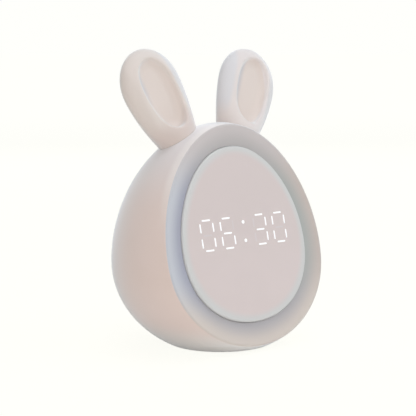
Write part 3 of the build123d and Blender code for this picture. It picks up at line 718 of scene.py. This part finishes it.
@dataclass(frozen=True)
class Fibre:
    """Pressed paper, film or open foam: pores or fibres in one colour."""

    name: str
    colour: Colour
    roughness: float = 0.9
    pore: float = 0.35 * MM
    pore_depth: float = 0.05 * MM
    pore_gain: float = 0.9
    pore_shade: float = 0.6

    def material(self) -> bpy.types.Material:
        """Builds the material.

        Returns:
            The material.
        """
        graph = Graph(bpy.data.materials.new(self.name))
        pores = graph.node("ShaderNodeTexVoronoi", {"feature": "F1"}, {
            "Vector": graph.coordinates(), "Scale": 1 / self.pore})
        raised = (pores * self.pore_gain).clamped()
        return graph.surface(
            Base_Color=graph.blend(raised, scaled(self.colour, self.pore_shade), self.colour),
            Roughness=self.roughness,
            Normal=graph.bumps(raised, self.pore_depth),
        )


# ---------------------------------------------------------------- the clock
class Finish(Enum):
    """Every finish that the clock's pieces have."""

    SHELL = HousingPlastic("shell_white", (0.785, 0.635, 0.566), (0.80, 0.65, 0.586))
    # the ears' edge and other shade colours set here are painted shade
    EAR_LEFT = EarPlastic("ear_white_left", (0.76, 0.675, 0.62), (0.77, 0.69, 0.635), side=-1,
                          wall_shadow_height=(-0.3, 0.5), edge=(0.72, 0.68, 0.67), flank_shade=(0.73, 0.645, 0.59))
    EAR_RIGHT = EarPlastic("ear_white_right", (0.79, 0.715, 0.68), (0.80, 0.725, 0.70),
                           root_shade=(0.78, 0.70, 0.66))
    BUTTON = MattPlastic("button_white", (0.80, 0.69, 0.635), (0.81, 0.70, 0.65), grain_depth=0.006 * MM)
    SIGN = MattPlastic("sign_grey", (0.30, 0.265, 0.25), (0.32, 0.28, 0.265), sheen=0.3,
                       grain_depth=0.004 * MM)
    PANEL = MilkyPanel()
    LIT = LitStroke()
    UNLIT = MouldedPlastic("digit_dark", (0.72, 0.65, 0.645), roughness=0.5)
    INNER = MouldedPlastic("inner_white", (0.80, 0.80, 0.79))
    FILM = Fibre("diffuser_film", (0.86, 0.86, 0.86), pore=0.2 * MM, pore_depth=0.005 * MM)
    LIGHT_BOARD = SolderMask("board_white", (0.78, 0.78, 0.74), (0.84, 0.84, 0.80))
    CONTROL_BOARD = SolderMask("board_green", (0.012, 0.085, 0.035), (0.03, 0.15, 0.065))
    LAMP = MouldedPlastic("led_white", (0.86, 0.80, 0.42), roughness=0.35, flow=1 * MM)
    BLACK = MouldedPlastic("switch_black", (0.018, 0.018, 0.02), roughness=0.4)
    GREY = MouldedPlastic("knob_grey", (0.085, 0.085, 0.09), roughness=0.5, flow=1.5 * MM)
    SCREW = PlatedMetal("screw_steel")
    SOCKET = PlatedMetal("socket_steel", (0.70, 0.70, 0.71), roughness=0.25)
    CONTACT = PlatedMetal("contact_nickel", (0.72, 0.69, 0.63), roughness=0.22)
    BASKET = MouldedPlastic("speaker_metal", (0.03, 0.03, 0.033), roughness=0.45)
    CONE = Fibre("cone_paper", (0.035, 0.035, 0.038))
    FOAM = Fibre("foam_black", (0.03, 0.03, 0.03), pore=0.5 * MM, pore_depth=0.2 * MM)
    CELL = MouldedPlastic("cell_wrap", (0.04, 0.12, 0.34), roughness=0.18, flow=12 * MM)
    FOOT = SoftRubber("foot_rubber", (0.36, 0.35, 0.34))


BUTTONS = ("mode", "down", "up", "light")
DISC_SIDES = 40
ROUNDED_ANGLE, SMOOTHED_ANGLE = math.radians(40), math.radians(35)


# ---------------------------------------------------------------- modelling steps
def choose(piece: bpy.types.Object) -> None:
    """Makes one piece the only one selected and the active one.

    Args:
        piece: The piece.
    """
    bpy.ops.object.select_all(action="DESELECT")
    piece.select_set(True)
    bpy.context.view_layer.objects.active = piece


def block(middle: Vector, size: Vector, turn: float = 0.0) -> bpy.types.Object:
    """Adds a box.

    Args:
        middle: Its middle.
        size: Its three sides.
        turn: How far it is turned about the line front to back, in radians.

    Returns:
        The box, with its place in its mesh.
    """
    bpy.ops.object.select_all(action="DESELECT")
    bpy.ops.mesh.primitive_cube_add(size=1.0, location=middle, rotation=(0, turn, 0), scale=size)
    bpy.ops.object.transform_apply(location=True, rotation=True, scale=True)
    return bpy.context.object


def disc(middle: Vector, radius: float, depth: float) -> bpy.types.Object:
    """Adds a round disc that faces front to back.

    Args:
        middle: Its middle.
        radius: Its radius.
        depth: Its thickness.

    Returns:
        The disc, with its place in its mesh.
    """
    bpy.ops.object.select_all(action="DESELECT")
    bpy.ops.mesh.primitive_cylinder_add(vertices=DISC_SIDES, radius=radius, depth=depth,
                                        location=middle, rotation=(math.pi / 2, 0, 0))
    bpy.ops.object.transform_apply(location=True, rotation=True, scale=True)
    return bpy.context.object


def join(kept: bpy.types.Object, other: bpy.types.Object) -> None:
    """Makes another piece a part of one.

    Args:
        kept: The piece.
        other: The other piece, which is used up.
    """
    choose(kept)
    other.select_set(True)
    bpy.ops.object.join()


class Step(Enum):
    """What is done with a second solid."""

    ADD = "UNION"
    CUT = "DIFFERENCE"


def combine(kept: bpy.types.Object, other: bpy.types.Object, step: Step) -> None:
    """Adds another solid to a piece or cuts it out of the piece.

    Args:
        kept: The piece.
        other: The other solid, which is used up.
        step: Which of the two.
    """
    change = kept.modifiers.new(step.name, "BOOLEAN")
    change.operation, change.object, change.solver = step.value, other, "EXACT"
    choose(kept)
    bpy.ops.object.modifier_apply(modifier=change.name)
    bpy.data.objects.remove(other)


def soften(piece: bpy.types.Object, width: float) -> None:
    """Rounds a piece's sharp edges.

    Args:
        piece: The piece.
        width: How wide the rounding is.
    """
    rounding = piece.modifiers.new("rounding", "BEVEL")
    rounding.width, rounding.segments, rounding.limit_method = width, 2, "ANGLE"
    rounding.angle_limit = ROUNDED_ANGLE
    choose(piece)
    bpy.ops.object.modifier_apply(modifier=rounding.name)
    bpy.ops.object.shade_smooth_by_angle(angle=SMOOTHED_ANGLE)


# ---------------------------------------------------------------- sub-assemblies
@dataclass
class Frame:
    """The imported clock: its nodes by name, and the box it has to stay in."""

    nodes: dict[str, bpy.types.Object]
    bounds: Sequence[Sequence[float]]
    finishes: dict[str, bpy.types.Material] = field(default_factory=dict)

    def finish(self, finish: Finish) -> bpy.types.Material:
        """Gives a finish's material, made the first time it is asked for.

        Args:
            finish: The finish.

        Returns:
            Its material.
        """
        if finish.name not in self.finishes:
            self.finishes[finish.name] = finish.value.material()
        return self.finishes[finish.name]

    def dress(self, names: Iterable[str], finish: Finish) -> None:
        """Gives nodes a finish.

        Args:
            names: The nodes' names.
            finish: Their finish.
        """
        for name in names:
            mesh = self.nodes[name].data
            mesh.materials.clear()
            mesh.materials.append(self.finish(finish))
            log.info("%s: %s", name, finish.name.lower())

    def add(self, piece: bpy.types.Object, name: str, finish: Finish, body: str, slot: str) -> None:
        """Takes in a new piece.

        Args:
            piece: The piece.
            name: Its name.
            finish: Its finish.
            body: The body that it rides on.
            slot: Not used.
        """
        piece.name = piece.data.name = name
        piece.data.materials.clear()
        piece.data.materials.append(self.finish(finish))
        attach(piece, body)
        log.info("%s: %s, on %s", name, finish.name.lower(), body)


@dataclass
class Housing:
    """The outer mouldings, what holds them together and the foot."""

    frame: Frame

    def build(self) -> None:
        """Dresses the mouldings."""
        self.frame.dress(("body_shell", "rear_cover"), Finish.SHELL)
        self.frame.dress(("ear_left",), Finish.EAR_LEFT)
        self.frame.dress(("ear_right",), Finish.EAR_RIGHT)
        self.frame.dress(("ear_clamp_left", "ear_clamp_right"), Finish.INNER)
        self.frame.dress(("foot_pad",), Finish.FOOT)
        self.frame.dress(("cover_screws", "ear_screws"), Finish.SCREW)


@dataclass
class Display:
    """The front panel, its strokes and what lights them."""

    frame: Frame

    def build(self) -> None:
        """Dresses the panel and the light's pieces."""
        self.frame.dress(("front_panel",), Finish.PANEL)
        self.frame.dress(("lit_segments",), Finish.LIT)
        self.frame.dress(("unlit_segments",), Finish.UNLIT)
        self.frame.dress(("segment_housing", "reflector_frame"), Finish.INNER)
        self.frame.dress(("diffuser_sheet",), Finish.FILM)
        self.frame.dress(("light_board",), Finish.LIGHT_BOARD)
        self.frame.dress(("digit_leds", "night_leds"), Finish.LAMP)
        self.frame.dress(("light_board_screws",), Finish.SCREW)


@dataclass(frozen=True)
class CapMarks:
    """Raised grey signs on the button caps: a dial, a minus, a plus and a sun."""

    stroke: float = 0.38 * MM
    reach: float = 1.55 * MM
    proud: float = 0.14 * MM
    sunk: float = 0.20 * MM
    rounding: float = 0.05 * MM
    hand_share: float = 0.62
    sun_radius: float = 0.65 * MM
    rays: int = 8
    ray_gap: float = 0.228 * MM

    @property
    def depth(self) -> float:
        """Gives a sign's thickness."""
        return self.proud + self.sunk

    def middle(self, cap: Vector) -> Vector:
        """Gives a sign's middle from that of the cap's face."""
        return cap + Vector((0, (self.proud - self.sunk) / 2, 0))

    def bar(self, cap: Vector, length: float, turn: float = 0.0, out: float = 0.0) -> bpy.types.Object:
        """Adds one straight stroke.

        Args:
            cap: The middle of the cap's face.
            length: The stroke's length.
            turn: How far it is turned from level, in radians.
            out: How far its middle lies from the cap's middle, along the stroke.

        Returns:
            The stroke.
        """
        line = Vector((math.cos(turn), 0, -math.sin(turn)))
        return block(self.middle(cap) + line * out, Vector((length, self.depth, self.stroke)), turn)

    def dial(self, cap: Vector) -> bpy.types.Object:
        """Makes a ring with two hands.

        Args:
            cap: The middle of the cap's face.

        Returns:
            The sign.
        """
        ring = disc(self.middle(cap), self.reach, self.depth)
        combine(ring, disc(self.middle(cap), self.reach - self.stroke, 2 * self.depth), Step.CUT)
        hand = self.hand_share * self.reach
        hands = self.bar(cap, hand, math.pi, (hand - self.stroke) / 2)
        combine(hands, self.bar(cap, hand, -math.pi / 2, (hand - self.stroke) / 2), Step.ADD)
        join(ring, hands)
        return ring

    def minus(self, cap: Vector) -> bpy.types.Object:
        """Makes one level stroke."""
        return self.bar(cap, 2 * self.reach)

    def plus(self, cap: Vector) -> bpy.types.Object:
        """Makes two crossed strokes.

        Args:
            cap: The middle of the cap's face.

        Returns:
            The sign.
        """
        level = self.minus(cap)
        combine(level, self.bar(cap, 2 * self.reach, math.pi / 2), Step.ADD)
        return level

    def sun(self, cap: Vector) -> bpy.types.Object:
        """Makes a disc with rays round it.

        Args:
            cap: The middle of the cap's face.

        Returns:
            The sign.
        """
        sun = disc(self.middle(cap), self.sun_radius, self.depth)
        length = self.reach - self.sun_radius - self.ray_gap
        for number in range(self.rays):
            join(sun, self.bar(cap, length, math.tau * number / self.rays, self.reach - length / 2))
        return sun


@dataclass(frozen=True)
class SocketContacts:
    """Rows of contacts on both faces of the charging socket's tongue."""

    count: int = 8
    pitch: float = 0.74 * MM
    size: Vector = Vector((0.34, 2.6, 0.10)) * MM
    from_tip: float = 1.8 * MM
    rounding: float = 0.02 * MM

    def build(self, low: Vector, high: Vector) -> bpy.types.Object:
        """Makes the contacts.

        Args:
            low: The tongue's lowest corner.
            high: Its highest corner.

        Returns:
            All of them as one piece.
        """
        first = (low.x + high.x - (self.count - 1) * self.pitch) / 2
        contacts = block(Vector((first, high.y - self.from_tip, low.z)), self.size)
        soften(contacts, self.rounding)
        repeats = {"row": (self.count, (self.pitch, 0, 0)), "faces": (2, (0, 0, high.z - low.z))}
        for name, (number, offset) in repeats.items():
            repeat = contacts.modifiers.new(name, "ARRAY")
            repeat.count, repeat.constant_offset_displace = number, offset
            repeat.use_relative_offset, repeat.use_constant_offset = False, True
            bpy.ops.object.modifier_apply(modifier=name)
        return contacts


@dataclass
class Controls:
    """The buttons, the slide, the socket and the board they stand on."""

    frame: Frame
    marks: CapMarks = CapMarks()
    contacts: SocketContacts = SocketContacts()

    def build(self) -> None:
        """Dresses the controls, and adds the signs and the socket's contacts."""
        self.frame.dress((f"button_{name}" for name in BUTTONS), Finish.BUTTON)
        self.frame.dress((f"switch_plunger_{name}" for name in BUTTONS), Finish.BLACK)
        self.frame.dress(("switch_bodies", "usb_tongue"), Finish.BLACK)
        self.frame.dress(("slide_knob",), Finish.GREY)
        self.frame.dress(("slide_switch", "usb_shell"), Finish.SOCKET)
        self.frame.dress(("control_board",), Finish.CONTROL_BOARD)
        self.frame.dress(("control_chips",), Finish.BLACK)
        self.frame.dress(("board_screws",), Finish.SCREW)
        signs = (self.marks.dial, self.marks.minus, self.marks.plus, self.marks.sun)
        for name, sign in zip(BUTTONS, signs):
            low, high = map(Vector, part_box(f"button_{name}"))
            mark = sign(Vector(((low.x + high.x) / 2, high.y, (low.z + high.z) / 2)))
            soften(mark, self.marks.rounding)
            self.frame.add(mark, f"mark_{name}", Finish.SIGN, f"button_{name}", "knob_grey")
        contacts = self.contacts.build(*map(Vector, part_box("usb_tongue")))
        self.frame.add(contacts, "socket_contacts", Finish.CONTACT, "housing", "contact_nickel")


@dataclass
class Loudspeaker:
    """The loudspeaker behind the grille."""

    frame: Frame

    def build(self) -> None:
        """Dresses the loudspeaker."""
        self.frame.dress(("speaker_gasket",), Finish.FOAM)
        self.frame.dress(("speaker_frame",), Finish.BASKET)
        self.frame.dress(("speaker_cone",), Finish.CONE)
        self.frame.dress(("speaker_magnet",), Finish.SCREW)
        self.frame.dress(("speaker_retainer",), Finish.INNER)


@dataclass
class Battery:
    """The cell in its cradle."""

    frame: Frame

    def build(self) -> None:
        """Dresses the cell, its cradle and its contacts."""
        self.frame.dress(("battery_cell",), Finish.CELL)
        self.frame.dress(("battery_cradle",), Finish.INNER)
        self.frame.dress(("battery_contacts",), Finish.CONTACT)
        self.frame.dress(("cradle_screws",), Finish.SCREW)


# ---------------------------------------------------------------- studio
def direction(azimuth: float, elevation: float) -> Vector:
    """Gives the unit vector from the clock towards a viewpoint.

    Args:
        azimuth: Degrees round from the front, towards -X.
        elevation: Degrees above the floor.

    Returns:
        The direction.
    """
    turn, rise = math.radians(azimuth), math.radians(elevation)
    return Vector((-math.sin(turn) * math.cos(rise), -math.cos(turn) * math.cos(rise), math.sin(rise)))


def stand(name: str, data: bpy.types.ID, target: Vector, away: Vector, distance: float) -> bpy.types.Object:
    """Stands a lamp or the camera where it looks at a point.

    Args:
        name: Its name.
        data: The lamp or camera.
        target: The point.
        away: The direction from the point to it.
        distance: How far off it stands, in metres.

    Returns:
        Its object.
    """
    made = bpy.data.objects.new(name, data)
    made.location = target + away * distance
    made.rotation_euler = away.to_track_quat("Z", "Y").to_euler()
    bpy.context.collection.objects.link(made)
    return made


@dataclass(frozen=True)
class Lamp:
    """A square soft box that looks at the clock's middle."""

    name: str
    azimuth: float
    elevation: float
    power: float
    colour: Colour
    size: float = 0.7
    distance: float = 0.9

    def place(self, target: Vector) -> None:
        """Hangs the lamp.

        Args:
            target: The point that it looks at.
        """
        data = bpy.data.lights.new(self.name, "AREA")
        data.size, data.energy, data.color = self.size, self.power, self.colour
        stand(self.name, data, target, direction(self.azimuth, self.elevation), self.distance)


@dataclass(frozen=True)
class Studio:
    """The camera, a white floor and backdrop, and soft light all round."""

    azimuth: float = 40.278
    elevation: float = 7.223
    distance: float = 507.324 * MM
    aim_across: float = -4.80 * MM
    aim_height: float = 55.003 * MM
    lens: float = 108.55
    sensor: float = 36.0
    sight: float = 100.0
    backdrop: Colour = (1.0, 1.0, 0.97)
    ambient: Colour = (1.0, 1.0, 1.0)
    ambient_strength: float = 0.335
    floor_half: float = 20.0
    floor_paper: Colour = (0.95, 0.92, 0.88)
    floor_near: Colour = (1.04, 1.04, 0.985)
    floor_far: Colour = (1.08, 1.08, 1.04)
    floor_reach: Span = (0.3, 2.0)
    shadow_share: float = 0.10
    lamps: tuple[Lamp, ...] = (
        Lamp("front", 40, 8, 3.15, (1.0, 1.0, 1.0)),
        Lamp("top", 0, 85, 2.60, (0.88, 0.93, 1.0)),
        Lamp("right", -40, 45, 2.05, (0.86, 0.93, 1.0)),
        Lamp("side", -80, 8, 0.95, (0.80, 0.90, 1.0)),
        Lamp("back", 215, 32, 2.10, (0.96, 0.98, 1.0)),
    )

    def build(self) -> None:
        """Sets up everything that isn't the clock."""
        self._camera()
        self._world()
        self._floor()
        for lamp in self.lamps:
            lamp.place(Vector((0, 0, self.aim_height)))
        bpy.context.scene.view_settings.view_transform = "Standard"

    def _camera(self) -> None:
        """Places the camera."""
        turn = math.radians(self.azimuth)
        right = Vector((math.cos(turn), -math.sin(turn), 0))
        target = right * self.aim_across + Vector((0, 0, self.aim_height))
        data = bpy.data.cameras.new("camera")
        data.sensor_width, data.lens, data.clip_end = self.sensor, self.lens, self.sight
        bpy.context.scene.camera = stand(
            "camera", data, target, direction(self.azimuth, self.elevation), self.distance)

    def _world(self) -> None:
        """Makes the world soft light for the clock and a white background for the camera."""
        bpy.context.scene.world = bpy.data.worlds.new("studio")
        graph = Graph(bpy.context.scene.world)
        seen = graph.node("ShaderNodeLightPath", output="Is Camera Ray")
        for ray in ("Is Glossy Ray", "Is Transmission Ray"):
            seen = graph.math("MAXIMUM", seen, graph.node("ShaderNodeLightPath", output=ray))
        light, white = (
            graph.node("ShaderNodeBackground", inputs={"Color": (*colour, 1.0), "Strength": strength})
            for colour, strength in ((self.ambient, self.ambient_strength), (self.backdrop, 1.0)))
        mixed = graph.node("ShaderNodeMixShader", inputs={0: seen, 1: light, 2: white})
        graph.end("ShaderNodeOutputWorld", mixed)

    def _floor(self) -> None:
        """Lays a pale floor that shows white but keeps a faint shadow."""
        bpy.ops.mesh.primitive_plane_add(size=2 * self.floor_half, location=(0, 0, 0))
        floor = bpy.context.object
        floor.name = "floor"
        graph = Graph(bpy.data.materials.new("floor"))
        seen = graph.node("ShaderNodeLightPath", output="Is Camera Ray")
        paper = graph.node("ShaderNodeBsdfDiffuse", inputs={"Color": (*self.floor_paper, 1.0)})
        away = graph.node("ShaderNodeVectorMath", {"operation": "LENGTH"},
                          {0: graph.coordinates()}, output="Value")
        shown = graph.blend(away.ramped(self.floor_reach), self.floor_near, self.floor_far)
        glow = graph.node("ShaderNodeEmission", inputs={"Color": shown, "Strength": 1.0})
        mixed = graph.node("ShaderNodeMixShader", inputs={
            0: seen * (1 - self.shadow_share), 1: paper, 2: glow})
        graph.end("ShaderNodeOutputMaterial", mixed)
        floor.data.materials.append(graph.owner)
        floor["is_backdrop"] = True


def main() -> None:
    """Loads the frame, dresses it and sets up the studio."""
    logging.basicConfig(level=logging.INFO, format="%(message)s")
    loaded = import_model()
    frame = Frame(loaded["nodes"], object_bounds())
    bpy.ops.object.select_all(action="DESELECT")
    for section in (Housing, Display, Controls, Loudspeaker, Battery):
        section(frame).build()
    Studio().build()


if __name__ == "__main__":
    main()
